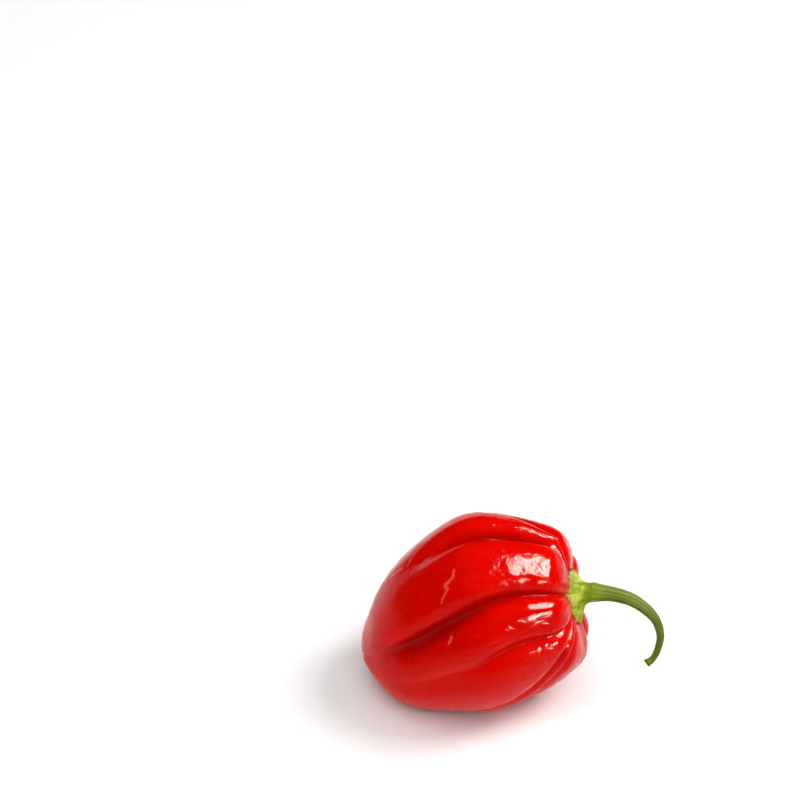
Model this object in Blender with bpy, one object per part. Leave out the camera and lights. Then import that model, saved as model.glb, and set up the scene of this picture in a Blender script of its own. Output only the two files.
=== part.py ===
"""A lobed chilli pepper lying on its side: pod, calyx and curved stem.

Metres. +X runs from the blossom end to the stem, -Y is the front, +Z is up.
The floor is z = 0 and the origin is under the middle of the whole pepper.
Each piece is first worked out in the pod's own frame: front, up and along.
The pod's length lies along, from the blossom end near 0 to the stem.
"""

import math

import bmesh
import bpy
import numpy as np

# Driving dimensions of the pose
PITCH = math.radians(14.0)  # the stem end rises by this angle
ORIGIN = (-0.0288, -0.0001, 0.0122)  # place of the pod frame's zero in the finished frame
GAP = 0.0003  # clearance between neighbouring pieces

# Pod: half outline from the stem pole to the blossom pole, as (radius, place along)
MERIDIAN = (
    (0.0000, 0.0415),
    (0.0042, 0.0415),
    (0.0061, 0.0429),
    (0.0133, 0.0423),
    (0.0152, 0.0371),
    (0.0206, 0.0258),
    (0.0191, 0.0183),
    (0.0158, 0.0083),
    (0.0109, 0.0021),
    (0.0035, -0.0024),
    (0.0000, -0.0024),
)
POD_LENGTH = 0.044
SPINE = (-0.0050, -0.0018, 0.0007, 0.0016, 0.0011)  # height of the pod's middle, evenly from tip to shoulder
SHOULDER_TURN = 0.067  # slope by which the stem end faces a little to one side
SHOULDER_TURN_ANGLE = 16  # that side

# Valleys between the lobes. Angles go round from the front (0) over the top (90), in degrees.
# Angles and depths are given at five even stations from the shoulder to the tip, depths in metres.
# The last two pairs are how far the valley reaches below and above its floor, in degrees, at its two ends.
VALLEYS = {
    "low_front": ((5, 8, 4, 0, -2), (0.0009, 0.0016, 0.0013, 0.0006, 0.0), (14, 16), (20, 14)),
    "front": ((43, 44, 37.5, 30.5, 28), (0.0016, 0.0024, 0.0029, 0.0031, 0.0012), (13, 16), (34, 14)),
    "top": ((99, 96, 91, 87, 84), (0.0014, 0.0028, 0.0021, 0.0005, 0.0), (20, 12), (22, 20)),
    "top_back": ((112, 125, 129, 131, 132), (0.0010, 0.0014, 0.0007, 0.0001, 0.0), (12, 16), (12, 16)),
    "back_high": ((163, 161, 161, 163, 164), (0.0016, 0.0024, 0.0025, 0.0021, 0.0010), (18, 20), (24, 24)),
    "back": ((202, 202, 202, 201, 199), (0.0016, 0.0026, 0.0029, 0.0027, 0.0014), (16, 14), (26, 20)),
    "back_low": ((238, 234, 233, 233, 233), (0.0012, 0.0019, 0.0015, 0.0009, 0.0003), (16, 16), (20, 20)),
    "under": ((270, 268, 268, 268, 268), (0.0014, 0.0020, 0.0022, 0.0022, 0.0012), (17, 17), (20, 20)),
    "under_front": ((336, 306, 302, 302, 302), (0.0009, 0.0015, 0.0010, 0.0003, 0.0), (16, 9), (16, 9)),
    "low_crease": ((350, 320, 316, 314, 314), (0.0006, 0.0008, 0.0003, 0.0, 0.0), (8, 14), (8, 14)),
}
VALLEY_SHARPNESS = 2.6  # 1 is a straight-sided valley, higher values round the lobes more
VALLEY_ROUNDNESS = (0.1, 1.0)  # rounding of a valley's floor in its own reach, at the shoulder and the tip

# The underside is level along the two lobes that carry the pod
UNDERSIDE_ANGLE = 270
UNDERSIDE_SPREAD = 28
UNDERSIDE = (0.0009, 0.0031, -0.0001, -0.0027, -0.0024)  # at the same five stations

POD_STEP = 4.7  # about how many degrees lie between two points of a ring
POD_RINGS = 40

# Calyx
CALYX_RADIUS = 0.0049
CALYX_EDGE = 0.00045  # thickness at the rim
CALYX_POINTS = {308: 0.0011, 15: 0.0006, 75: 0.0006, 130: 0.0009, 215: 0.0010}  # angle: reach past the rim
CALYX_POINT_SPREAD = 17  # degrees
CALYX_RIB = 0.00025
CROWN_RADIUS = 0.0023
CROWN_PLACE = 0.0452  # place along of the flat crown that the stem stands on
CROWN_SHARPNESS = 0.85  # under 1 is a puffed cap, over 1 a hollow cone
CALYX_SEGMENTS = 60
CALYX_RINGS = 7

# Stem: (front, up, along, radius) of its centre line, from the crown to the broken end
STEM_LINE = (
    (0.0000, 0.0017, CROWN_PLACE + GAP, 0.00212),
    (0.0002, 0.0014, 0.0470, 0.00180),
    (0.0003, 0.0007, 0.0494, 0.00146),
    (0.0005, -0.0003, 0.0518, 0.00138),
    (0.0007, -0.0019, 0.0540, 0.00126),
    (0.0010, -0.0045, 0.0561, 0.00110),
    (0.0013, -0.0074, 0.0573, 0.00089),
    (0.0017, -0.0106, 0.0574, 0.00075),
    (0.0021, -0.0136, 0.0563, 0.00067),
    (0.0025, -0.0156, 0.0549, 0.00065),
    (0.0030, -0.0161, 0.0535, 0.00084),
)
STEM_SIDES = 20
STEM_RINGS = 40
STEM_RIDGES = 5
STEM_RIDGE_HEIGHT = 0.05  # share of the radius
SCAR_DEPTH = 0.0003  # hollow in the broken end
SCAR_SHARE = 0.6  # radius of the hollow, as a share of the end's radius


def clear_scene():
    """Remove every object that the new file starts with."""
    for item in list(bpy.data.objects):
        bpy.data.objects.remove(item, do_unlink=True)


def material(name, rgb, roughness):
    """A plain non-metallic Principled material."""
    made = bpy.data.materials.new(name)
    made.use_nodes = True
    made.diffuse_color = (*rgb, 1.0)
    shader = made.node_tree.nodes["Principled BSDF"]
    shader.inputs["Base Color"].default_value = (*rgb, 1.0)
    shader.inputs["Roughness"].default_value = roughness
    shader.inputs["Metallic"].default_value = 0.0
    return made


def place(front, up, along):
    """Points of the pod's frame, pitched and put in their place over the floor."""
    x = ORIGIN[0] + along * math.cos(PITCH) - up * math.sin(PITCH)
    y = ORIGIN[1] - front
    z = ORIGIN[2] + along * math.sin(PITCH) + up * math.cos(PITCH)
    return np.stack(np.broadcast_arrays(x, y, z), axis=-1)


def through(values, share):
    """Catmull-Rom curve through evenly spaced values, at shares of its length from 0 to 1."""
    values = np.asarray(values, float)
    first = 2 * values[:1] - values[1:2]
    last = 2 * values[-1:] - values[-2:-1]
    knots = np.concatenate([first, values, last])
    x = np.clip(share, 0, 1) * (len(values) - 1)
    i = np.minimum(np.floor(x).astype(int), len(values) - 2)
    f = x - i
    if values.ndim > 1:
        f = f[..., None]
    a, b, c, d = (knots[i + k] for k in range(4))
    return b + 0.5 * f * (c - a + f * (2 * a - 5 * b + 4 * c - d + f * (3 * (b - c) + d - a)))


def b_spline(points, share):
    """Uniform cubic B-spline of control points, at shares of its length from 0 to 1."""
    points = np.asarray(points, float)
    spans = len(points) - 3
    x = np.clip(share, 0, 1) * spans
    i = np.minimum(np.floor(x).astype(int), spans - 1)
    f = (x - i)[..., None]
    weights = ((1 - f) ** 3, 3 * f**3 - 6 * f**2 + 4, -3 * f**3 + 3 * f**2 + 3 * f + 1, f**3)
    return sum(weight * points[i + k] for k, weight in enumerate(weights)) / 6


def meridian_table():
    """Share of the arc, radius, place along and outward normal of the smooth pod, finely spaced."""
    start, end = MERIDIAN[1], MERIDIAN[-2]
    control = [(-start[0], start[1]), *MERIDIAN, (-end[0], end[1])]
    points = b_spline(control, np.linspace(0, 1, 2001))
    arc = np.concatenate([[0], np.cumsum(np.hypot(*np.diff(points, axis=0).T))])
    arc /= arc[-1]
    tangent = np.gradient(points, arc, axis=0)
    tangent /= np.linalg.norm(tangent, axis=1, keepdims=True)
    return arc, points[:, 0], points[:, 1], -tangent[:, 1], tangent[:, 0]


def degrees_off(theta, centre):
    """Signed distance round the pod from a centre angle, in degrees."""
    return (np.degrees(theta) - centre + 180) % 360 - 180


def valley_shape(distance, below, above, roundness):
    """Profile of a valley, 1 on its floor and 0 past its reach, which differs on its two sides."""
    x = np.hypot(distance / np.where(distance < 0, below, above), roundness) - roundness
    x = x / (np.hypot(1, roundness) - roundness)
    return (1 - np.clip(x, 0, 1)) ** VALLEY_SHARPNESS


def relief(share, theta):
    """Height of the pod's surface over the smooth pod, negative in the valleys."""
    height = through((0, *UNDERSIDE, 0), share)
    height = height * np.exp(-((degrees_off(theta, UNDERSIDE_ANGLE) / UNDERSIDE_SPREAD) ** 2))
    roundness = VALLEY_ROUNDNESS[0] + (VALLEY_ROUNDNESS[1] - VALLEY_ROUNDNESS[0]) * share**3
    for angles, depths, *reaches in VALLEYS.values():
        distance = degrees_off(theta, through((angles[0], *angles, angles[-1]), share))
        below, above = (first + (last - first) * share for first, last in zip(*reaches))
        height = height - through((0, *depths, 0), share) * valley_shape(distance, below, above, roundness)
    return height


def pod_surface(share, theta, off=0.0):
    """Front, up and along of the pod's surface, or of a surface the given distance off it."""
    arc, *columns = meridian_table()
    radius, along, out_radial, out_along = (np.interp(share, arc, column) for column in columns)
    height = relief(share, theta) + off
    radius = radius + out_radial * height
    along = along + out_along * height
    spine = through(SPINE, along / POD_LENGTH)
    end = np.clip(2 * along / POD_LENGTH - 1, 0, None) ** 2
    turn = SHOULDER_TURN * radius * np.cos(theta - math.radians(SHOULDER_TURN_ANGLE))
    return radius * np.cos(theta), radius * np.sin(theta) + spine, along - turn * end


def closed_body(name, rings, first_pole, last_pole, finish):
    """A closed body from rings of points, all going the same way round, and a point at each end."""
    count = len(rings[0])
    points = [tuple(first_pole), *(tuple(p) for ring in rings for p in ring), tuple(last_pole)]
    faces = []
    for k in range(count):
        after = (k + 1) % count
        faces.append((0, 1 + k, 1 + after))
        for ring in range(len(rings) - 1):
            row, below = 1 + ring * count, 1 + (ring + 1) * count
            faces.append((row + k, below + k, below + after, row + after))
        row = 1 + (len(rings) - 1) * count
        faces.append((row + k, len(points) - 1, row + after))
    mesh = bpy.data.meshes.new(name)
    mesh.from_pydata(points, [], faces)
    body = bpy.data.objects.new(name, mesh)
    bpy.context.scene.collection.objects.link(body)
    mesh.materials.append(finish)
    shape = bmesh.new()
    shape.from_mesh(mesh)
    bmesh.ops.recalc_face_normals(shape, faces=shape.faces)
    shape.to_mesh(mesh)
    shape.free()
    mesh.shade_smooth()
    return body


def cut_flat_at_floor(body):
    """Cut the body off at z = 0 and close the cuts, which leaves the flats that it rests on."""
    shape = bmesh.new()
    shape.from_mesh(body.data)
    everything = [*shape.verts, *shape.edges, *shape.faces]
    cut = bmesh.ops.bisect_plane(
        shape, geom=everything, plane_co=(0, 0, 0), plane_no=(0, 0, 1), clear_inner=True
    )
    rim = [item for item in cut["geom_cut"] if isinstance(item, bmesh.types.BMEdge)]
    bmesh.ops.edgenet_fill(shape, edges=rim)
    bmesh.ops.recalc_face_normals(shape, faces=shape.faces)
    shape.to_mesh(body.data)
    shape.free()


def ring_angles(count):
    """Even angles round a ring."""
    return np.arange(count) * 2 * math.pi / count


def valley_floors(share):
    """Angle of each valley's floor at a station, going round, with the first one again at the end."""
    floors = [through((angles[0], *angles, angles[-1]), share) for angles, *_ in VALLEYS.values()]
    return np.array([*floors, floors[0] + 360])


def lobed_angles(share, counts):
    """Angles round the pod at a station: one on every valley's floor and even ones between."""
    floors = valley_floors(share)
    spans = zip(floors[:-1], floors[1:], counts)
    return np.radians(np.concatenate([np.linspace(*span, endpoint=False) for span in spans]))


def pod():
    """The fruit: lobes swelling between valleys that run from the shoulder to the tip."""
    finish = material("pod_red", (0.62, 0.012, 0.006), 0.22)
    counts = np.rint(np.diff(valley_floors(0.5)) / POD_STEP).astype(int)
    shares = np.linspace(0, 1, POD_RINGS + 1)
    rings = [place(*pod_surface(share, lobed_angles(share, counts))) for share in shares[1:-1]]
    ends = [place(*pod_surface(share, 0.0)) for share in (0.0, 1.0)]
    body = closed_body("pod", rings, *ends, finish)
    cut_flat_at_floor(body)
    return body


def calyx_reach(theta):
    """Radius of the calyx's rim, which runs out into five uneven points."""
    reach = np.full_like(theta, CALYX_RADIUS)
    for angle, length in CALYX_POINTS.items():
        reach += length * np.exp(-((degrees_off(theta, angle) / CALYX_POINT_SPREAD) ** 2))
    return reach


def calyx_rib(theta):
    """Ridges that lead from the crown out to the points, from 0 to 1."""
    near = [np.exp(-((degrees_off(theta, angle) / CALYX_POINT_SPREAD) ** 2)) for angle in CALYX_POINTS]
    return sum(near)


def calyx():
    """The green cap: its underside follows the pod, its top rises to a flat crown."""
    finish = material("calyx_green", (0.30, 0.36, 0.02), 0.5)
    theta = ring_angles(CALYX_SEGMENTS)
    arc, radius, *_ = meridian_table()
    waist = np.argmax(radius)
    middle = pod_surface(0.0, 0.0, GAP)
    lean = STEM_LINE[0][1] - middle[1]
    under, top = [], []
    for rise in np.linspace(1, 0, CALYX_RINGS):
        reach = calyx_reach(theta) * (1 - rise) + CROWN_RADIUS * rise
        share = np.interp(reach, radius[:waist], arc[:waist])
        front, up, along = pod_surface(share, theta, GAP)
        under.append(place(front, up, along))
        edge = along + CALYX_EDGE
        crown = edge + (CROWN_PLACE - edge) * rise**CROWN_SHARPNESS
        crown = crown + CALYX_RIB * calyx_rib(theta) * 4 * rise * (1 - rise)
        top.append(place(front, up + lean * rise, crown))
    poles = place(*middle), place(middle[0], middle[1] + lean, CROWN_PLACE)
    return closed_body("calyx", [*under, *top[::-1]], *poles, finish)


def stem():
    """The curved stalk: five faint ridges, a slim neck and a flared, hollowed broken end."""
    finish = material("stem_green", (0.17, 0.24, 0.015), 0.5)
    line = through(STEM_LINE, np.linspace(0, 1, STEM_RINGS))
    centre, radius = line[:, :3], line[:, 3]
    tangent = np.gradient(centre, axis=0)
    tangent[0] = (0, 0, 1)
    tangent /= np.linalg.norm(tangent, axis=1, keepdims=True)
    theta = ring_angles(STEM_SIDES)
    ridge = 1 + STEM_RIDGE_HEIGHT * np.cos(STEM_RIDGES * theta)
    side = np.array([1.0, 0.0, 0.0])
    rings = []
    for point, direction, size in zip(centre, tangent, radius):
        side = side - direction * np.dot(side, direction)
        side /= np.linalg.norm(side)
        other = np.cross(direction, side)
        across = np.cos(theta)[:, None] * side + np.sin(theta)[:, None] * other
        rings.append(point + size * ridge[:, None] * across)
    hollow = centre[-1] - SCAR_DEPTH * tangent[-1]
    rings.append(hollow + (rings[-1] - centre[-1]) * SCAR_SHARE)
    placed = [place(*ring.T) for ring in rings]
    return closed_body("stem", placed, place(*centre[0]), place(*hollow), finish)


clear_scene()
pod()
calyx()
stem()
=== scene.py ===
"""The looks of a lobed chilli pepper that lies on its side: skin, calyx, stalk, floor, light and camera.

Metres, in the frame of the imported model: +X from the blossom end to the stem, -Y the front, +Z up.
The skins repeat the solids' own formula in finer steps and with finer relief, and lie where the solids do.
"""

import itertools
import math

import bpy
import numpy as np
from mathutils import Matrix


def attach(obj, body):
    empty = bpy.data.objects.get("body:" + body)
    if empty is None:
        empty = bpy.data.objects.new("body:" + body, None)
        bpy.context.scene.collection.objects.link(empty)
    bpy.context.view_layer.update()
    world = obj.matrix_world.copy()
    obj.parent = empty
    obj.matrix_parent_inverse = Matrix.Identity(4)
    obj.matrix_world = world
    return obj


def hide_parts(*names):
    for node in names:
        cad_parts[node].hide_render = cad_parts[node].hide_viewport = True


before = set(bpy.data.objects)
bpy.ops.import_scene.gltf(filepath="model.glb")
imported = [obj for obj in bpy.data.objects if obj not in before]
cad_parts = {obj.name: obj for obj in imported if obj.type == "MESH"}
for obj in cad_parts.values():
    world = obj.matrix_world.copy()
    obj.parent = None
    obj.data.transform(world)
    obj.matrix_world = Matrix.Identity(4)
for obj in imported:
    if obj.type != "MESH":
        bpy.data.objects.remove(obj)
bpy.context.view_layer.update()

# Driving dimensions of the pose, as the solids have them
PITCH = math.radians(14.0)  # the stem end rises by this angle
ORIGIN = (-0.0288, -0.0001, 0.0122)  # place of the pod frame's zero in the finished frame

# Pod: control points of its half outline, from the stem pole to the blossom pole, as (radius, place along)
MERIDIAN = (
    (0.0000, 0.0415),
    (0.0042, 0.0415),
    (0.0061, 0.0429),
    (0.0133, 0.0423),
    (0.0152, 0.0371),
    (0.0206, 0.0258),
    (0.0191, 0.0183),
    (0.0158, 0.0083),
    (0.0109, 0.0021),
    (0.0035, -0.0024),
    (0.0000, -0.0024),
)
POD_LENGTH = 0.044
SPINE = (-0.0050, -0.0018, 0.0007, 0.0016, 0.0011)  # height of the pod's middle, evenly from tip to shoulder
SHOULDER_TURN = 0.067  # slope by which the stem end faces a little to one side
SHOULDER_TURN_ANGLE = 16  # that side

# Valleys between the lobes. Angles go round from the front (0) over the top (90), in degrees.
# Angles and depths are given at five even stations from the shoulder to the tip, depths in metres.
# The last two pairs are how far the valley reaches below and above its floor, in degrees, at its two ends.
VALLEYS = {
    "low_front": ((5, 8, 4, 0, -2), (0.0009, 0.0016, 0.0013, 0.0006, 0.0), (14, 16), (20, 14)),
    "front": ((43, 44, 37.5, 30.5, 28), (0.0016, 0.0024, 0.0029, 0.0031, 0.0012), (13, 16), (34, 14)),
    "top": ((99, 96, 91, 87, 84), (0.0014, 0.0028, 0.0021, 0.0005, 0.0), (20, 12), (22, 20)),
    "top_back": ((112, 125, 129, 131, 132), (0.0010, 0.0014, 0.0007, 0.0001, 0.0), (12, 16), (12, 16)),
    "back_high": ((163, 161, 161, 163, 164), (0.0016, 0.0024, 0.0025, 0.0021, 0.0010), (18, 20), (24, 24)),
    "back": ((202, 202, 202, 201, 199), (0.0016, 0.0026, 0.0029, 0.0027, 0.0014), (16, 14), (26, 20)),
    "back_low": ((238, 234, 233, 233, 233), (0.0012, 0.0019, 0.0015, 0.0009, 0.0003), (16, 16), (20, 20)),
    "under": ((270, 268, 268, 268, 268), (0.0014, 0.0020, 0.0022, 0.0022, 0.0012), (17, 17), (20, 20)),
    "under_front": ((336, 306, 302, 302, 302), (0.0009, 0.0015, 0.0010, 0.0003, 0.0), (16, 9), (16, 9)),
    "low_crease": ((350, 320, 316, 314, 314), (0.0006, 0.0008, 0.0003, 0.0, 0.0), (8, 14), (8, 14)),
}
VALLEY_SHARPNESS = 2.6  # 1 is a straight-sided valley, higher values round the lobes more
VALLEY_ROUNDNESS = (0.1, 1.0)  # rounding of a valley's floor in its own reach, at the shoulder and the tip

# The underside is level along the two lobes that carry the pod
UNDERSIDE_ANGLE = 270
UNDERSIDE_SPREAD = 28
UNDERSIDE = (0.0009, 0.0031, -0.0001, -0.0027, -0.0024)  # at the same five stations

# Stem: (front, up, along, radius) of its centre line, from the crown of the calyx to the broken end
STEM_LINE = (
    (0.0000, 0.0017, 0.0455, 0.00212),
    (0.0002, 0.0014, 0.0470, 0.00180),
    (0.0003, 0.0007, 0.0494, 0.00146),
    (0.0005, -0.0003, 0.0518, 0.00138),
    (0.0007, -0.0019, 0.0540, 0.00126),
    (0.0010, -0.0045, 0.0561, 0.00110),
    (0.0013, -0.0074, 0.0573, 0.00089),
    (0.0017, -0.0106, 0.0574, 0.00075),
    (0.0021, -0.0136, 0.0563, 0.00067),
    (0.0025, -0.0156, 0.0549, 0.00065),
    (0.0030, -0.0161, 0.0535, 0.00084),
)
STEM_SIDES = 120
STEM_RINGS = 420
STEM_RIDGES = 5
STEM_RIDGE_HEIGHT = 0.05  # share of the radius
STEM_LINES = 13  # fine lengthwise lines round the stalk
STEM_LINE_DEPTH = 0.024  # share of the radius
STEM_BUMPS = ((0.00003, 0.0006), (0.00005, 0.002))  # height and size of the bumps along the stalk
SCAR_DEPTH = 0.0004  # hollow in the broken end
SCAR_BUMPS = (0.00008, 0.0004)  # height and size of the bumps in that hollow

# Calyx
CALYX_RADIUS = 0.00465
CALYX_POINTS = {308: 0.0011, 15: 0.0001, 75: 0.0004, 130: 0.0009, 215: 0.0010}  # angle: reach past the rim
CALYX_POINT_SPREAD = 17  # degrees
CALYX_EDGE = 0.00035  # height of the rim over the skin
CALYX_SINK = 0.00015  # how far the rim's underside is pressed into the skin
CALYX_RIB = 0.00035
CALYX_FRAY = ((0.03, 0.0011), (0.03, 0.0005))  # share of the radius and size of the rim's bites
CALYX_LIFT = (0.4, 0.0021)  # share of the rim's height and size of its waves
CALYX_BUMPS = ((0.00011, 0.0011), (0.00004, 0.0005))  # height and size
CALYX_BUMP_WAY = (0.3, 0.3, 1.0)  # front, up and along of a bump
CALYX_FALL = 0.35  # how far below 0 the rim value for the material falls at the neck, from 1 at the rim
# From the rim to the neck: share of the way out from the neck, share of the rise to it
CALYX_PROFILE = (
    (1, 0), (0.97, 0.03), (0.84, 0.07), (0.68, 0.12), (0.46, 0.21),
    (0.27, 0.31), (0.15, 0.43), (0.07, 0.60), (0.02, 0.80), (0, 1),
)
CALYX_COLUMNS = 300
CALYX_RINGS = 90
NECK_SHARE = 0.05  # share of the stalk's line at which the cap has become the stalk
NECK_FIT = 0.99  # radius of the cap there, as a share of the stalk's

# Finer relief of the pod's skin, in metres
POD_RINGS = 250
POD_COLUMNS = 372
CREASE_WIDTH = 1.7  # degrees from a crease's floor to where about a third of its depth is left
CREASES = {  # depth of the sharp line on a valley's floor, at the five stations
    "front": (0.0006, 0.0003, 0.0001, 0.0, 0.0),
    "top": (0.0003, 0.0002, 0.0001, 0.0, 0.0),
    "top_back": (0.0002, 0.0001, 0.0, 0.0, 0.0),
    "low_front": (0.0003, 0.0001, 0.0, 0.0, 0.0),
    "under_front": (0.0003, 0.0002, 0.0, 0.0, 0.0),
    "low_crease": (0.0004, 0.0002, 0.0, 0.0, 0.0),
    "back_high": (0.0005, 0.0003, 0.0002, 0.0001, 0.0),
    "back": (0.0006, 0.0003, 0.0002, 0.0001, 0.0),
    "back_low": (0.0004, 0.0002, 0.0001, 0.0, 0.0),
    "under": (0.0004, 0.0002, 0.0001, 0.0, 0.0),
}
RIPPLE = (0.00009, 0.0045, 5.0)  # height, size across and stretch along of the long soft ripples
DENTS = ((0.00011, 0.0026, 1.4), (0.000055, 0.0014, 1.0))  # the same of the dents that break up a highlight
SMOOTH_FROM, SMOOTH_TO = 0.28, 0.5  # share of the length over which the dents get fainter
SMOOTH_SHARE = 0.3  # what is left of them
# Small marks on the skin: height, width and course as (share of the length, angle)
MARKS = (
    (0.00012, 0.00034, ((0.495, 65), (0.499, 61), (0.513, 59), (0.526, 58))),
    (0.00010, 0.00032, (
        (0.526, 58), (0.524, 56), (0.517, 55.4), (0.525, 53.2), (0.536, 51.8), (0.545, 48.4),
    )),
    (0.00010, 0.00025, ((0.624, 97.8), (0.646, 95.2), (0.665, 90.2))),
    (-0.00012, 0.0004, ((0.684, 92.8), (0.705, 95.0), (0.729, 95.6))),
    (-0.00014, 0.0004, ((0.538, 27.0), (0.541, 25.2), (0.546, 24.2))),
    (0.00003, 0.00025, ((0.870, 34), (0.850, 29), (0.837, 25))),
    (0.00003, 0.00025, ((0.880, 40), (0.845, 36), (0.809, 32))),
)
MARK_WANDER = (0.00015, 0.0012)  # how far the marks stray from their course, and the size of a bend
MARK_FULL = 0.0001  # height at which a mark has its full pale colour, partly a scar's own colour and partly painted reflection
VALLEY_SHADE_DEPTH = (0.0015, 0.0030)  # depth at which a valley has its full painted shade, at the shoulder and past it
TIP_SCAR = 0.0011  # radius of the blossom scar
TIP_KNOB = 0.00015  # height of the scar
TIP_WRINKLES = 17  # round the scar
TIP_WRINKLE = 0.00006
TIP_WAVER = (2.5, 0.003)  # how far the wrinkles waver, as an angle in radians, and the size of a bend

# Light and floor
FLOOR_HALF = 1.5  # half of the floor's side
LAMP_AIM = (0.0, 0.0, 0.02)  # a point in the pod that every lamp looks at
SURROUND = 0.27  # strength of the white surround

# Camera: the photograph's viewing angle and framing
IMAGE_SIZE = 800
LENS = 100.0
SENSOR = 36.0
CAMERA_AZIMUTH = 4.0
CAMERA_ELEVATION = 35.0
CAMERA_DEPTH = 0.444
AIM_PIXEL = (475.3, 615.1)  # where the middle of the pod's length shows


def place(front, up, along):
    """Points of the pod's frame, pitched and put in their place over the floor."""
    x = ORIGIN[0] + along * math.cos(PITCH) - up * math.sin(PITCH)
    y = ORIGIN[1] - front
    z = ORIGIN[2] + along * math.sin(PITCH) + up * math.cos(PITCH)
    return np.stack(np.broadcast_arrays(x, y, z), axis=-1)


def through(values, share):
    """Catmull-Rom curve through evenly spaced values, at shares of its length from 0 to 1."""
    values = np.asarray(values, float)
    first = 2 * values[:1] - values[1:2]
    last = 2 * values[-1:] - values[-2:-1]
    knots = np.concatenate([first, values, last])
    x = np.clip(share, 0, 1) * (len(values) - 1)
    i = np.minimum(np.floor(x).astype(int), len(values) - 2)
    f = x - i
    if values.ndim > 1:
        f = f[..., None]
    a, b, c, d = (knots[i + k] for k in range(4))
    return b + 0.5 * f * (c - a + f * (2 * a - 5 * b + 4 * c - d + f * (3 * (b - c) + d - a)))


def b_spline(points, share):
    """Uniform cubic B-spline of control points, at shares of its length from 0 to 1."""
    points = np.asarray(points, float)
    spans = len(points) - 3
    x = np.clip(share, 0, 1) * spans
    i = np.minimum(np.floor(x).astype(int), spans - 1)
    f = (x - i)[..., None]
    weights = ((1 - f) ** 3, 3 * f**3 - 6 * f**2 + 4, -3 * f**3 + 3 * f**2 + 3 * f + 1, f**3)
    return sum(weight * points[i + k] for k, weight in enumerate(weights)) / 6


def meridian_table():
    """Share of the arc, radius, place along and outward normal of the smooth pod, finely spaced."""
    start, end = MERIDIAN[1], MERIDIAN[-2]
    control = [(-start[0], start[1]), *MERIDIAN, (-end[0], end[1])]
    points = b_spline(control, np.linspace(0, 1, 2001))
    arc = np.concatenate([[0], np.cumsum(np.hypot(*np.diff(points, axis=0).T))])
    arc /= arc[-1]
    tangent = np.gradient(points, arc, axis=0)
    tangent /= np.linalg.norm(tangent, axis=1, keepdims=True)
    return arc, points[:, 0], points[:, 1], -tangent[:, 1], tangent[:, 0]


def degrees_off(theta, centre):
    """Signed distance round the pod from a centre angle, in degrees."""
    return (np.degrees(theta) - centre + 180) % 360 - 180


def valley_angle(name, share):
    """Angle of a valley's floor at a share of the pod's length."""
    angles = VALLEYS[name][0]
    return through((angles[0], *angles, angles[-1]), share)


def valley_shape(distance, below, above, roundness):
    """Profile of a valley, 1 on its floor and 0 past its reach, which differs on its two sides."""
    x = np.hypot(distance / np.where(distance < 0, below, above), roundness) - roundness
    x = x / (np.hypot(1, roundness) - roundness)
    return (1 - np.clip(x, 0, 1)) ** VALLEY_SHARPNESS


def relief(share, theta):
    """Height of the pod's surface over the smooth pod, negative in the valleys."""
    height = through((0, *UNDERSIDE, 0), share)
    height = height * np.exp(-((degrees_off(theta, UNDERSIDE_ANGLE) / UNDERSIDE_SPREAD) ** 2))
    roundness = VALLEY_ROUNDNESS[0] + (VALLEY_ROUNDNESS[1] - VALLEY_ROUNDNESS[0]) * share**3
    for name, (_, depths, *reaches) in VALLEYS.items():
        distance = degrees_off(theta, valley_angle(name, share))
        below, above = (first + (last - first) * share for first, last in zip(*reaches))
        height = height - through((0, *depths, 0), share) * valley_shape(distance, below, above, roundness)
    return height


def pod_surface(share, theta, off=0.0):
    """Front, up and along of the pod's surface, or of a surface the given distance off it."""
    arc, *columns = meridian_table()
    radius, along, out_radial, out_along = (np.interp(share, arc, column) for column in columns)
    height = relief(share, theta) + off
    radius = radius + out_radial * height
    along = along + out_along * height
    spine = through(SPINE, along / POD_LENGTH)
    end = np.clip(2 * along / POD_LENGTH - 1, 0, None) ** 2
    turn = SHOULDER_TURN * radius * np.cos(theta - math.radians(SHOULDER_TURN_ANGLE))
    return radius * np.cos(theta), radius * np.sin(theta) + spine, along - turn * end


def noise(points, size, seed):
    """Smooth random values of about -1 to 1 at points in space, a bump for about each size metres."""
    random = np.random.default_rng(seed)
    shuffle = random.permutation(256)
    slopes = random.normal(size=(256, 3))
    slopes /= np.linalg.norm(slopes, axis=1, keepdims=True)
    scaled = points / size
    cell = np.floor(scaled).astype(int)
    part = scaled - cell
    fade = part**3 * (part * (part * 6 - 15) + 10)
    total = 0.0
    for corner in itertools.product((0, 1), repeat=3):
        i, j, k = np.moveaxis(cell + corner, -1, 0)
        slope = slopes[shuffle[(shuffle[(shuffle[i % 256] + j) % 256] + k) % 256]]
        weight = np.prod(np.where(corner, fade, 1 - fade), axis=-1)
        total = total + weight * (slope * (part - corner)).sum(-1)
    return 1.6 * total


def waves(points, kind, seed):
    """Noise at points in space, of a kind given as its height and size."""
    height, size = kind
    return height * noise(points, size, seed)


def smoothstep(value, low, high):
    """0 below low, 1 above high and a soft rise between."""
    x = np.clip((value - low) / (high - low), 0, 1)
    return x * x * (3 - 2 * x)


def mark(spot, height, width, course):
    """A soft ridge, or a groove where the height is negative, along a course on the skin."""
    line = [np.array(pod_surface(share, math.radians(angle))) for share, angle in course]
    off = np.full(spot.shape[:-1], 1.0)
    for start, end in itertools.pairwise(line):
        run = end - start
        part = np.clip((spot - start) @ run / (run @ run), 0, 1)
        off = np.minimum(off, np.linalg.norm(spot - start - part[..., None] * run, axis=-1))
    return height * np.exp(-((off / width) ** 2))


def marks(spot):
    """Height of the small marks on the skin at points of it."""
    wander = spot + waves(spot, MARK_WANDER, 4)[..., None]
    return sum(mark(wander, *kind) for kind in MARKS)


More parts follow.
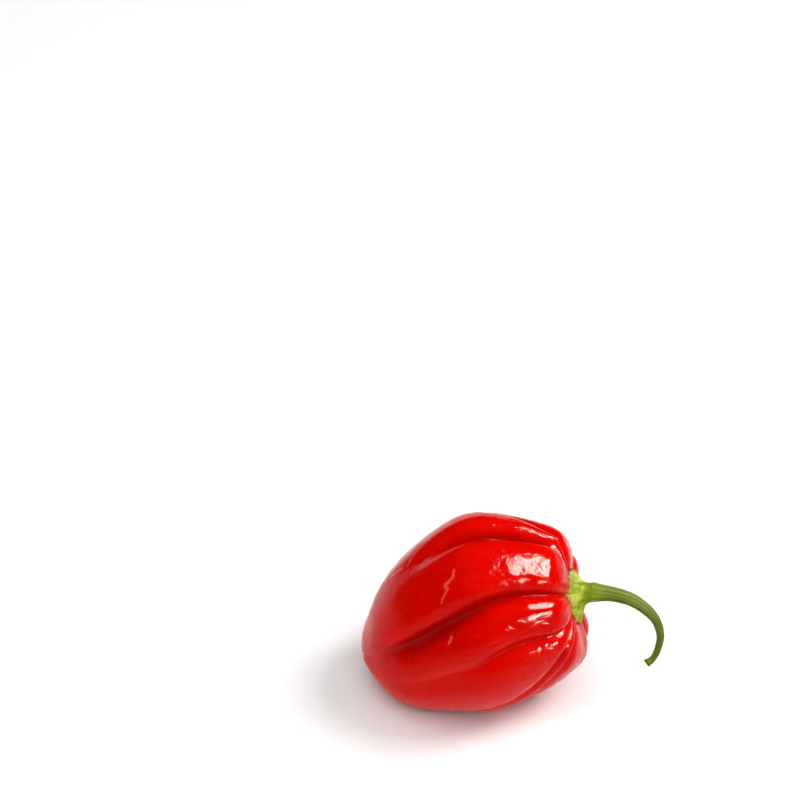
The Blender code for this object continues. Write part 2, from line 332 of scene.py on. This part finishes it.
def fine_relief(share, theta):
    """Creases, ripples, small dents and marks of the skin, over the lobed pod."""
    height = np.zeros(np.broadcast(share, theta).shape)
    for name, depths in CREASES.items():
        distance = degrees_off(theta, valley_angle(name, share))
        height -= through((0, *depths, 0), share) * np.exp(-np.abs(distance) / CREASE_WIDTH)
    spot = np.stack(pod_surface(share, theta), axis=-1)
    height += RIPPLE[0] * noise(spot / (1, 1, RIPPLE[2]), RIPPLE[1], 0)
    left = 1 - (1 - SMOOTH_SHARE) * smoothstep(share, SMOOTH_FROM, SMOOTH_TO)
    for seed, (depth, across, stretch) in enumerate(DENTS, 1):
        height += left * depth * noise(spot / (1, 1, stretch), across, seed)
    height += marks(spot)
    off = np.linalg.norm(spot - np.array(pod_surface(1.0, 0.0)), axis=-1)
    wrinkles = np.cos(TIP_WRINKLES * theta + waves(spot, TIP_WAVER, 6))
    wrinkles = wrinkles * np.exp(-((off / TIP_SCAR - 2) ** 2))
    return height + TIP_WRINKLE * wrinkles + TIP_KNOB * np.exp(-((off / TIP_SCAR) ** 4))


def quad_rings(name, rings, first_pole=None, last_pole=None):
    """A mesh object of rings of points, joined by quads and closed by triangles at the poles given."""
    rings = np.asarray(rings)
    count, columns = rings.shape[:2]
    points = rings.reshape(-1, 3)
    here = np.arange(columns)
    after = (here + 1) % columns
    rows = np.arange(count - 1)[:, None] * columns
    quads = np.stack([rows + here, rows + columns + here, rows + columns + after, rows + after], axis=-1)
    faces = quads.reshape(-1, 4).tolist()
    if first_pole is not None:
        faces += [(len(points), a, b) for a, b in zip(here, after)]
        points = np.concatenate([points, [first_pole]])
    if last_pole is not None:
        row = (count - 1) * columns
        faces += [(row + a, len(points), row + b) for a, b in zip(here, after)]
        points = np.concatenate([points, [last_pole]])
    mesh = bpy.data.meshes.new(name)
    mesh.from_pydata(points.tolist(), [], faces)
    mesh.validate()
    mesh.shade_smooth()
    made = bpy.data.objects.new(name, mesh)
    bpy.context.scene.collection.objects.link(made)
    return made


def store(piece, name, values):
    """Keep a number for each point of a piece, for its material to read."""
    piece.data.attributes.new(name, "FLOAT", "POINT").data.foreach_set("value", np.ravel(values))


class Shader:
    """Builds a Principled material node by node."""

    def __init__(self, name):
        self.material = bpy.data.materials.new(name)
        self.material.use_nodes = True
        self.tree = self.material.node_tree
        self.surface = self.tree.nodes["Principled BSDF"]

    def link(self, source, socket):
        """Feed a socket from another one, or set it to a value."""
        if isinstance(source, bpy.types.NodeSocket):
            self.tree.links.new(source, socket)
        else:
            socket.default_value = source

    def node(self, kind, inputs=None, **settings):
        """A node with its settings and inputs."""
        made = self.tree.nodes.new("ShaderNode" + kind)
        for key, value in settings.items():
            setattr(made, key, value)
        for key, value in (inputs or {}).items():
            self.link(value, made.inputs[key])
        return made

    def set(self, **values):
        """Set or feed the shader's own sockets. Underscores stand for spaces in their names."""
        for key, value in values.items():
            self.link(value, self.surface.inputs[key.replace("_", " ")])

    def place(self, stretch=(1, 1, 1)):
        """The point on the object, in metres, with its axes stretched."""
        spot = self.node("TexCoord").outputs["Object"]
        return self.node("Mapping", {"Vector": spot, "Scale": stretch}).outputs[0]

    def noise(self, scale, detail, rough, stretch=(1, 1, 1)):
        """A noise of 0 to 1, with scale bumps for each metre."""
        inputs = {"Vector": self.place(stretch), "Scale": scale, "Detail": detail, "Roughness": rough}
        return self.node("TexNoise", inputs).outputs[0]

    def cells(self, scale):
        """Distance from the nearest wall of random cells, with scale cells for each metre."""
        inputs = {"Vector": self.place(), "Scale": scale}
        return self.node("TexVoronoi", inputs, feature="DISTANCE_TO_EDGE").outputs[0]

    def attribute(self, name):
        """A number kept on the mesh."""
        return self.node("Attribute", attribute_name=name).outputs["Fac"]

    def span(self, value, low, high, to_low=0.0, to_high=1.0):
        """A value moved smoothly from one range to another."""
        inputs = {"Value": value, "From Min": low, "From Max": high, "To Min": to_low, "To Max": to_high}
        return self.node("MapRange", inputs, interpolation_type="SMOOTHSTEP").outputs[0]

    def math(self, operation, a, b):
        """One sum on two values."""
        made = self.node("Math", operation=operation)
        self.link(a, made.inputs[0])
        self.link(b, made.inputs[1])
        return made.outputs[0]

    def mix(self, share, first, second):
        """A colour between two."""
        made = self.node("Mix", data_type="RGBA")
        self.link(share, made.inputs["Factor"])
        for socket, colour in zip((made.inputs[6], made.inputs[7]), (first, second)):
            self.link(colour if isinstance(colour, bpy.types.NodeSocket) else (*colour, 1.0), socket)
        return made.outputs[2]

    def bump(self, height, distance, strength, normal=None):
        """The surface's normal over a height of 0 to 1 times distance metres."""
        inputs = {"Height": height, "Distance": distance, "Strength": strength}
        if normal is not None:
            inputs["Normal"] = normal
        return self.node("Bump", inputs).outputs[0]


def pod_material():
    """Waxy red skin: deep red with warmer patches, painted shade in the valleys, crisp highlights and a fine
    cellular surface.
    """
    skin = Shader("pod_skin")
    patches = skin.span(skin.noise(90, 3, 0.55, (0.45, 1, 1)), 0.35, 0.7)
    colour = skin.mix(patches, (0.55, 0.0011, 0.0003), (0.62, 0.0017, 0.0005))
    streaks = skin.span(skin.noise(700, 2, 0.5, (0.12, 1, 1)), 0.4, 0.75, 0.0, 0.35)
    colour = skin.mix(streaks, colour, (0.72, 0.0050, 0.0008))
    # The marks are painted paler: partly a healed scar's own colour, partly a painted reflection of the
    # light on them
    colour = skin.mix(skin.span(skin.attribute("mark"), 0.2, 1.0, 0.0, 0.5), colour, (0.85, 0.12, 0.07))
    # Painted shade: the valley floors are painted dark red where shade falls in them; the same depth also
    # dulls them
    hollow = skin.attribute("hollow")
    colour = skin.mix(skin.span(hollow, 0.3, 1.0, 0.0, 0.8), colour, (0.24, 0.0004, 0.0002))
    colour = skin.mix(skin.span(skin.attribute("scar"), 0.3, 0.8), colour, (0.22, 0.07, 0.02))
    skin.set(Base_Color=colour, IOR=1.16, Specular_Tint=(1.0, 0.84, 0.74, 1.0))
    dull = skin.span(hollow, 0.85, 1.0, 0.0, 0.45)
    gloss = skin.span(skin.noise(420, 3, 0.6), 0.3, 0.75, 0.05, 0.10)
    skin.set(Roughness=skin.math("ADD", dull, gloss))
    skin.set(Subsurface_Weight=0.10, Subsurface_Radius=(1.0, 0.08, 0.03), Subsurface_Scale=0.0015)
    peel = skin.bump(skin.span(skin.cells(850), 0.0, 0.22), 0.000022, 0.9)
    skin.set(Normal=skin.bump(skin.noise(1300, 3, 0.6), 0.000018, 0.9, peel))
    return skin.material


def stem_material():
    """Olive green stalk with lengthwise lines, painted top light that makes its top side paler, and a brown
    broken end.
    """
    skin = Shader("stem_skin")
    along = skin.attribute("along")
    lines = skin.span(skin.attribute("line"), 0.2, 0.9)
    patches = skin.span(skin.noise(500, 4, 0.6), 0.35, 0.7)
    colour = skin.mix(patches, (0.072, 0.115, 0.0008), (0.13, 0.17, 0.003))
    # Painted top light: the side that faces up is painted paler, as the lamps above light it
    colour = skin.mix(skin.span(skin.attribute("painted_top_light"), -0.2, 0.9), colour, (0.165, 0.215, 0.012))
    colour = skin.mix(skin.math("MULTIPLY", lines, 0.5), colour, (0.05, 0.09, 0.001))
    colour = skin.mix(skin.span(along, 0.22, 0.06), colour, (0.17, 0.25, 0.003))
    colour = skin.mix(skin.span(along, 0.965, 0.99), colour, (0.11, 0.05, 0.012))
    skin.set(Base_Color=colour, Roughness=skin.span(patches, 0.0, 1.0, 0.42, 0.55), Specular_IOR_Level=0.05)
    skin.set(Subsurface_Weight=0.06, Subsurface_Radius=(0.5, 1.0, 0.1), Subsurface_Scale=0.0005)
    skin.set(Normal=skin.bump(skin.noise(2600, 3, 0.6), 0.00005, 0.7))
    return skin.material


def calyx_material():
    """Pale yellow-green cap with darker hollows and an orange-brown, dried rim."""
    skin = Shader("calyx_skin")
    rim = skin.attribute("rim")
    patches = skin.span(skin.noise(650, 4, 0.6), 0.35, 0.68)
    colour = skin.mix(patches, (0.18, 0.27, 0.003), (0.46, 0.52, 0.022))
    colour = skin.mix(skin.span(skin.noise(1500, 3, 0.6), 0.55, 0.75, 0.0, 0.6), colour, (0.10, 0.16, 0.003))
    colour = skin.mix(skin.span(rim, 0.0, -0.33), colour, (0.155, 0.235, 0.003))
    ragged = skin.math("ADD", rim, skin.span(skin.noise(900, 3, 0.6), 0.2, 0.8, -0.14, 0.14))
    colour = skin.mix(skin.span(ragged, 0.70, 0.90), colour, (0.50, 0.27, 0.04))
    colour = skin.mix(skin.span(ragged, 0.90, 1.02), colour, (0.20, 0.05, 0.01))
    skin.set(Base_Color=colour, Roughness=skin.span(patches, 0.0, 1.0, 0.4, 0.55), Specular_IOR_Level=0.05)
    skin.set(Subsurface_Weight=0.06, Subsurface_Radius=(0.5, 1.0, 0.1), Subsurface_Scale=0.0005)
    skin.set(Normal=skin.bump(skin.noise(2200, 3, 0.6), 0.00008, 0.8))
    return skin.material


def valley_floors(share):
    """Angle of each valley's floor at a station, going round, with the first one again at the end."""
    floors = [valley_angle(name, share) for name in VALLEYS]
    return np.array([*floors, floors[0] + 360])


def lobed_angles(share, counts):
    """Angles round the pod at a station: one on every valley's floor and even ones between."""
    floors = valley_floors(share)
    spans = zip(floors[:-1], floors[1:], counts)
    return np.radians(np.concatenate([np.linspace(*span, endpoint=False) for span in spans]))


def pod_skin():
    """The fruit's skin, in place of the plain solid."""
    counts = np.rint(np.diff(valley_floors(0.5)) * POD_COLUMNS / 360).astype(int)
    share = np.linspace(0, 1, POD_RINGS + 1)[1:-1, None]
    theta = np.array([lobed_angles(station, counts) for station in share[:, 0]])
    rings = place(*pod_surface(share, theta, fine_relief(share, theta)))
    poles = [place(*pod_surface(end, 0.0)) for end in (0.0, 1.0)]
    rings[..., 2] = np.maximum(rings[..., 2], 0.0)
    skin = quad_rings("pod_skin", rings, *poles)
    off = np.linalg.norm(rings - poles[-1], axis=-1).ravel() / TIP_SCAR
    store(skin, "scar", [*np.exp(-(off**4)), 0.0, 1.0])
    # Where the marks are, for their paler colour, which is partly painted reflection
    mark_tint_and_sheen = np.abs(marks(np.stack(pod_surface(share, theta), axis=-1))).ravel() / MARK_FULL
    # Depth in the valleys, for the painted valley shade and the duller valley floors
    full = VALLEY_SHADE_DEPTH[0] + (VALLEY_SHADE_DEPTH[1] - VALLEY_SHADE_DEPTH[0]) * smoothstep(share, 0.0, 0.2)
    hollow = np.clip(-relief(share, theta) / full, 0, 1)
    store(skin, "hollow", [*hollow.ravel(), 0.0, 0.0])
    store(skin, "mark", [*np.clip(mark_tint_and_sheen, 0, 1), 0.0, 0.0])
    skin.data.materials.append(pod_material())
    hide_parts("pod")
    return skin


def calyx_reach(theta):
    """Radius of the calyx's rim, which runs out into a few uneven points."""
    reach = np.full_like(theta, CALYX_RADIUS)
    for angle, length in CALYX_POINTS.items():
        reach += length * np.exp(-((degrees_off(theta, angle) / CALYX_POINT_SPREAD) ** 2))
    return reach


def calyx_rib(theta):
    """Ridges that lead from the crown out to the points, from 0 between them to about 1."""
    return sum(np.exp(-((degrees_off(theta, angle) / CALYX_POINT_SPREAD) ** 2)) for angle in CALYX_POINTS)


def stem_frame(count):
    """Centres, radii and the two directions across of the stalk's rings."""
    line = through(STEM_LINE, np.linspace(0, 1, count))
    centre, radius = line[:, :3], line[:, 3]
    tangent = np.gradient(centre, axis=0)
    tangent[0] = (0, 0, 1)
    tangent /= np.linalg.norm(tangent, axis=1, keepdims=True)
    side = np.array([1.0, 0.0, 0.0])
    sides = []
    for direction in tangent:
        side = side - direction * np.dot(side, direction)
        side /= np.linalg.norm(side)
        sides.append(side)
    sides = np.array(sides)
    return centre, radius, tangent, sides, np.cross(tangent, sides)


def calyx_cap():
    """The green cap, from its ragged rim on the pod up to the neck of the stalk."""
    theta = np.arange(CALYX_COLUMNS) * 2 * math.pi / CALYX_COLUMNS
    around = np.stack([np.cos(theta), np.sin(theta), 0 * theta], -1) * CALYX_RADIUS
    arc, radius, *_ = meridian_table()
    waist = np.argmax(radius)
    reach = calyx_reach(theta) * (1 + waves(around, CALYX_FRAY[0], 5) + waves(around, CALYX_FRAY[1], 8))
    rib = calyx_rib(theta)
    centre, size, _, sides, others = stem_frame(STEM_RINGS)
    neck = int(NECK_SHARE * STEM_RINGS)
    turn = np.cos(theta)[:, None] * sides[neck] + np.sin(theta)[:, None] * others[neck]
    neck_ring = centre[neck] + NECK_FIT * size[neck] * turn
    edge_share = np.interp(reach, radius[:waist], arc[:waist])
    lift = CALYX_EDGE * (1 + waves(around, CALYX_LIFT, 11))
    edge = np.stack(pod_surface(edge_share, theta, lift), -1)
    under = np.stack(pod_surface(edge_share, theta, -CALYX_SINK), -1)
    rings, rims = [under], [np.ones(CALYX_COLUMNS)]
    for rise in np.linspace(0, 1, CALYX_RINGS):
        out, up = through(CALYX_PROFILE, rise)
        ring = neck_ring + (edge - neck_ring) * np.array([out, out, 1 - up])
        # The ribs stand up and the skin between them sinks, most of all halfway out
        ring[:, 2] += CALYX_RIB * (2 * rib - 0.6) * 4 * out * (1 - out)
        rings.append(ring)
        rims.append(np.full(CALYX_COLUMNS, out - CALYX_FALL * up))
    rings = np.array(rings)
    bumps = waves(rings, CALYX_BUMPS[0], 7) + waves(rings, CALYX_BUMPS[1], 10)
    bumps *= smoothstep(np.array(rims), -CALYX_FALL, 0.1)
    rings += bumps[..., None] * np.array(CALYX_BUMP_WAY)
    cap = quad_rings("calyx_cap", place(*np.moveaxis(rings, -1, 0)))
    store(cap, "rim", rims)
    cap.data.materials.append(calyx_material())
    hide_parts("calyx")
    return cap


def stem_stalk():
    """The curved stalk with its ridges, lines and flared, hollowed broken end."""
    centre, radius, tangent, sides, others = stem_frame(STEM_RINGS)
    theta = np.arange(STEM_SIDES) * 2 * math.pi / STEM_SIDES
    share = np.linspace(0, 1, STEM_RINGS)[:, None]
    # The lines are unevenly spaced and sway a little along the stalk
    lines = np.cos(STEM_LINES * theta + 1.1 * np.sin(3 * theta) + 1.5 * np.sin(2.2 * share))
    profile = 1 + STEM_RIDGE_HEIGHT * np.cos(STEM_RIDGES * theta) - STEM_LINE_DEPTH * lines
    # Inside the cap the stalk is up to a fifth thinner
    inside = 0.8 + 0.2 * smoothstep(share, 0.0, NECK_SHARE)
    size = (radius[:, None] * profile * inside)[..., None]
    across = np.cos(theta)[:, None] * sides[:, None] + np.sin(theta)[:, None] * others[:, None]
    rings = centre[:, None] + size * across
    bumps = waves(rings, STEM_BUMPS[0], 9) + waves(rings, STEM_BUMPS[1], 12)
    rings += bumps[..., None] * across
    # How far the skin faces up, which the material turns into painted top light
    painted_top_light = across[..., 1]
    # Two smaller rings and a pole make the hollow in the broken end
    middle, spokes, inward = centre[-1], rings[-1] - centre[-1], SCAR_DEPTH * tangent[-1]
    hollow = np.array([middle + 0.8 * spokes, middle + 0.5 * spokes - inward])
    hollow += waves(hollow, SCAR_BUMPS, 13)[..., None] * tangent[-1]
    rings = place(*np.moveaxis(np.concatenate([rings, hollow]), -1, 0))
    stalk = quad_rings("stem_stalk", rings, last_pole=place(*(middle - 1.2 * inward)))
    ones, zeros = np.ones((2, STEM_SIDES)), np.zeros((2, STEM_SIDES))
    along = np.concatenate([np.repeat(share, STEM_SIDES, axis=1), ones])
    store(stalk, "along", [*along.ravel(), 1.0])
    store(stalk, "line", [*(0.5 + 0.5 * lines).ravel(), *zeros.ravel(), 0.0])
    store(stalk, "painted_top_light", [*painted_top_light.ravel(), *zeros.ravel(), 0.0])
    stalk.data.materials.append(stem_material())
    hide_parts("stem")
    return stalk


def floor():
    """A plain pale floor."""
    finish = Shader("floor")
    finish.set(Base_Color=(0.93, 0.93, 0.93, 1.0), Roughness=0.7, Specular_IOR_Level=0.0)
    mesh = bpy.data.meshes.new("floor")
    corners = [(x * FLOOR_HALF, y * FLOOR_HALF, 0) for x, y in ((-1, -1), (1, -1), (1, 1), (-1, 1))]
    mesh.from_pydata(corners, [], [(0, 1, 2, 3)])
    mesh.materials.append(finish.material)
    made = bpy.data.objects.new("floor", mesh)
    bpy.context.scene.collection.objects.link(made)


def direction(azimuth, elevation):
    """Unit vector to a point seen from the object, from the front (azimuth 0) round towards +X (90)."""
    a, e = math.radians(azimuth), math.radians(elevation)
    return np.array([math.sin(a) * math.cos(e), -math.cos(a) * math.cos(e), math.sin(e)])


def turned(back, origin):
    """Matrix of a camera or lamp at an origin, which looks against the direction back."""
    right = np.cross((0, 0, 1), back)
    right /= np.linalg.norm(right)
    matrix = np.eye(4)
    matrix[:3, 0], matrix[:3, 1], matrix[:3, 2], matrix[:3, 3] = right, np.cross(back, right), back, origin
    return matrix.T.tolist()


def softbox(name, azimuth, elevation, distance, width, height, watts, mirrored=True):
    """A rectangular lamp that looks at the pepper: a window that its skin mirrors, or else a soft light."""
    lamp = bpy.data.lights.new(name, "AREA")
    lamp.shape = "RECTANGLE"
    lamp.size, lamp.size_y, lamp.energy = width, height, watts
    made = bpy.data.objects.new(name, lamp)
    bpy.context.scene.collection.objects.link(made)
    back = direction(azimuth, elevation)
    made.matrix_world = turned(back, distance * back + LAMP_AIM)
    made.visible_glossy = mirrored
    made.visible_diffuse = not mirrored


def light():
    """Plain soft studio light: a white surround, two soft lamps and two windows for the shine."""
    world = bpy.data.worlds.new("studio")
    world.use_nodes = True
    inputs = world.node_tree.nodes["Background"].inputs
    inputs["Color"].default_value = (1.0, 1.0, 1.0, 1.0)
    inputs["Strength"].default_value = SURROUND
    world.cycles_visibility.glossy = False
    bpy.context.scene.world = world
    softbox("key", 100, 52, 1.0, 0.48, 0.48, 7.7, mirrored=False)
    softbox("fill", -10, 64, 1.6, 1.7, 1.7, 18.5, mirrored=False)
    softbox("key_window", 102, 54, 0.8, 0.36, 0.46, 76.0)
    softbox("right_window", 48, 20, 0.8, 0.26, 0.16, 27.0)


def camera():
    """A camera at the photograph's angle, aimed so that the pod shows at its place in the picture."""
    made = bpy.data.objects.new("camera", bpy.data.cameras.new("camera"))
    bpy.context.scene.collection.objects.link(made)
    made.data.lens, made.data.sensor_width = LENS, SENSOR
    made.data.clip_start, made.data.clip_end = 0.01, 20.0
    back = direction(CAMERA_AZIMUTH, CAMERA_ELEVATION)
    matrix = np.array(turned(back, (0, 0, 0))).T
    pixel = SENSOR / LENS / IMAGE_SIZE
    ray = ((AIM_PIXEL[0] - IMAGE_SIZE / 2) * pixel, (IMAGE_SIZE / 2 - AIM_PIXEL[1]) * pixel, -1.0)
    matrix[:3, 3] = place(0.0, 0.0, POD_LENGTH / 2) - CAMERA_DEPTH * (matrix[:3, :3] @ ray)
    made.matrix_world = matrix.T.tolist()
    bpy.context.scene.camera = made


camera()
floor()
light()
bpy.context.scene.view_settings.view_transform = "Standard"
for piece in (pod_skin(), calyx_cap(), stem_stalk()):
    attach(piece, "root")
